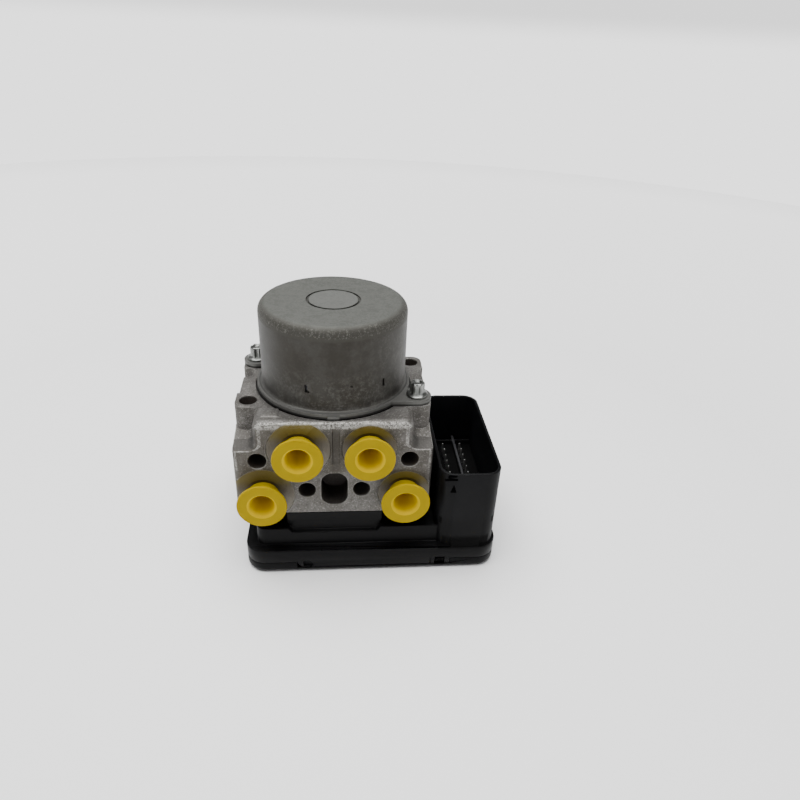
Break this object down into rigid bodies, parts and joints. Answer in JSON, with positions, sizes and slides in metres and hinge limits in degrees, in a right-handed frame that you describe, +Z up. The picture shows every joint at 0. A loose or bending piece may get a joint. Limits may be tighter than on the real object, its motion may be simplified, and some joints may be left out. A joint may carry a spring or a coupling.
{
  "type": "abs brake module",
  "caption": "Brake pressure module: metal valve block under a round pump motor can, with plugged pipe ports and a black controller housing with an upright plug socket.",
  "frame": {"origin": "on the motor's axis, in the flat underside of the controller's cover", "axes": "+Z up along the motor's axis, -Y towards the face with the four yellow port plugs, +X towards the plug socket"},
  "size_m": [0.1304, 0.1, 0.1278],
  "materials": {
    "can_steel": "dull zinc-grey plating with pale scuffs",
    "magnet_ferrite": "dull dark grey",
    "inner_steel": "turned and ground",
    "core_steel": "dull soft iron",
    "copper": "bare copper",
    "bush_bronze": "sintered bronze",
    "plate_plastic": "brown phenolic",
    "brush_carbon": "matt carbon",
    "pin_tin": "bright tin plating",
    "seal_rubber": "matt",
    "bolt_zinc": "bright zinc plating",
    "block_aluminium": "grainy satin with bright edges",
    "coil_plastic": "moulded over copper",
    "controller_plastic": "satin black, lightly scuffed",
    "board_green": "lacquered",
    "piston_aluminium": "turned",
    "plug_yellow": "smooth moulded"
  },
  "bodies": {
    "module": {"motor_can": "can_steel", "field_magnets": "magnet_ferrite", "top_bush": "bush_bronze", "lower_bearing": "inner_steel", "brush_plate": "plate_plastic", "brushes": "brush_carbon", "motor_terminals": "pin_tin", "motor_seal": "seal_rubber", "motor_bolts": "bolt_zinc", "valve_block": "block_aluminium", "solenoid_coils": "coil_plastic", "controller_housing": "controller_plastic", "housing_seal": "seal_rubber", "controller_cover": "controller_plastic", "circuit_board": "board_green", "connector_pins": "pin_tin", "controller_screws": "bolt_zinc", "pump_plug_left": "inner_steel", "pump_spring_left": "inner_steel", "reservoir_cap_left": "inner_steel", "reservoir_spring_left": "inner_steel", "port_plug_upper_left": "plug_yellow", "port_plug_lower_left": "plug_yellow", "inlet_plug_left": "plug_yellow", "pump_plug_right": "inner_steel", "pump_spring_right": "inner_steel", "reservoir_cap_right": "inner_steel", "reservoir_spring_right": "inner_steel", "port_plug_upper_right": "plug_yellow", "port_plug_lower_right": "plug_yellow", "inlet_plug_right": "plug_yellow", "inlet_valve_1": "inner_steel", "inlet_valve_2": "inner_steel", "inlet_valve_3": "inner_steel", "inlet_valve_4": "inner_steel", "outlet_valve_1": "inner_steel", "outlet_valve_2": "inner_steel", "outlet_valve_3": "inner_steel", "outlet_valve_4": "inner_steel"},
    "rotor": {"rotor_shaft": "inner_steel", "eccentric_bearing": "inner_steel", "rotor_core": "core_steel", "windings": "copper", "commutator": "copper"},
    "pump_piston_left": {"pump_piston_left": "inner_steel"},
    "pump_piston_right": {"pump_piston_right": "inner_steel"},
    "reservoir_piston_left": {"reservoir_piston_left": "piston_aluminium"},
    "reservoir_piston_right": {"reservoir_piston_right": "piston_aluminium"},
    "inlet_armature_1": {"inlet_armature_1": "core_steel"},
    "inlet_armature_2": {"inlet_armature_2": "core_steel"},
    "inlet_armature_3": {"inlet_armature_3": "core_steel"},
    "inlet_armature_4": {"inlet_armature_4": "core_steel"},
    "outlet_armature_1": {"outlet_armature_1": "core_steel"},
    "outlet_armature_2": {"outlet_armature_2": "core_steel"},
    "outlet_armature_3": {"outlet_armature_3": "core_steel"},
    "outlet_armature_4": {"outlet_armature_4": "core_steel"}
  },
  "joints": [
    {"name": "rotor_spin", "type": "hinge", "parent": "module", "child": "rotor", "pos_m": [0, 0, 0.09], "axis": [0, 0, 1], "continuous": true},
    {"name": "pump_stroke_left", "type": "slide", "parent": "module", "child": "pump_piston_left", "axis": [-1, 0, 0], "range_m": [0, 0.002], "stiffness_N_per_m": 2000, "springref_m": -0.002, "deforming": ["pump_spring_left"]},
    {"name": "pump_stroke_right", "type": "slide", "parent": "module", "child": "pump_piston_right", "axis": [1, 0, 0], "range_m": [0, 0.002], "stiffness_N_per_m": 2000, "springref_m": -0.002, "deforming": ["pump_spring_right"]},
    {"name": "reservoir_stroke_left", "type": "slide", "parent": "module", "child": "reservoir_piston_left", "axis": [0, 1, 0], "range_m": [0, 0.006], "stiffness_N_per_m": 500, "springref_m": -0.004, "deforming": ["reservoir_spring_left"]},
    {"name": "reservoir_stroke_right", "type": "slide", "parent": "module", "child": "reservoir_piston_right", "axis": [0, 1, 0], "range_m": [0, 0.006], "stiffness_N_per_m": 500, "springref_m": -0.004, "deforming": ["reservoir_spring_right"]},
    {"name": "inlet_lift_1", "type": "slide", "parent": "module", "child": "inlet_armature_1", "axis": [0, 0, 1], "range_m": [0, 0.00035], "stiffness_N_per_m": 1000, "springref_m": -0.001},
    {"name": "inlet_lift_2", "type": "slide", "parent": "module", "child": "inlet_armature_2", "axis": [0, 0, 1], "range_m": [0, 0.00035], "stiffness_N_per_m": 1000, "springref_m": -0.001},
    {"name": "inlet_lift_3", "type": "slide", "parent": "module", "child": "inlet_armature_3", "axis": [0, 0, 1], "range_m": [0, 0.00035], "stiffness_N_per_m": 1000, "springref_m": -0.001},
    {"name": "inlet_lift_4", "type": "slide", "parent": "module", "child": "inlet_armature_4", "axis": [0, 0, 1], "range_m": [0, 0.00035], "stiffness_N_per_m": 1000, "springref_m": -0.001},
    {"name": "outlet_lift_1", "type": "slide", "parent": "module", "child": "outlet_armature_1", "axis": [0, 0, 1], "range_m": [0, 0.00035], "stiffness_N_per_m": 1000, "springref_m": -0.001},
    {"name": "outlet_lift_2", "type": "slide", "parent": "module", "child": "outlet_armature_2", "axis": [0, 0, 1], "range_m": [0, 0.00035], "stiffness_N_per_m": 1000, "springref_m": -0.001},
    {"name": "outlet_lift_3", "type": "slide", "parent": "module", "child": "outlet_armature_3", "axis": [0, 0, 1], "range_m": [0, 0.00035], "stiffness_N_per_m": 1000, "springref_m": -0.001},
    {"name": "outlet_lift_4", "type": "slide", "parent": "module", "child": "outlet_armature_4", "axis": [0, 0, 1], "range_m": [0, 0.00035], "stiffness_N_per_m": 1000, "springref_m": -0.001}
  ]
}
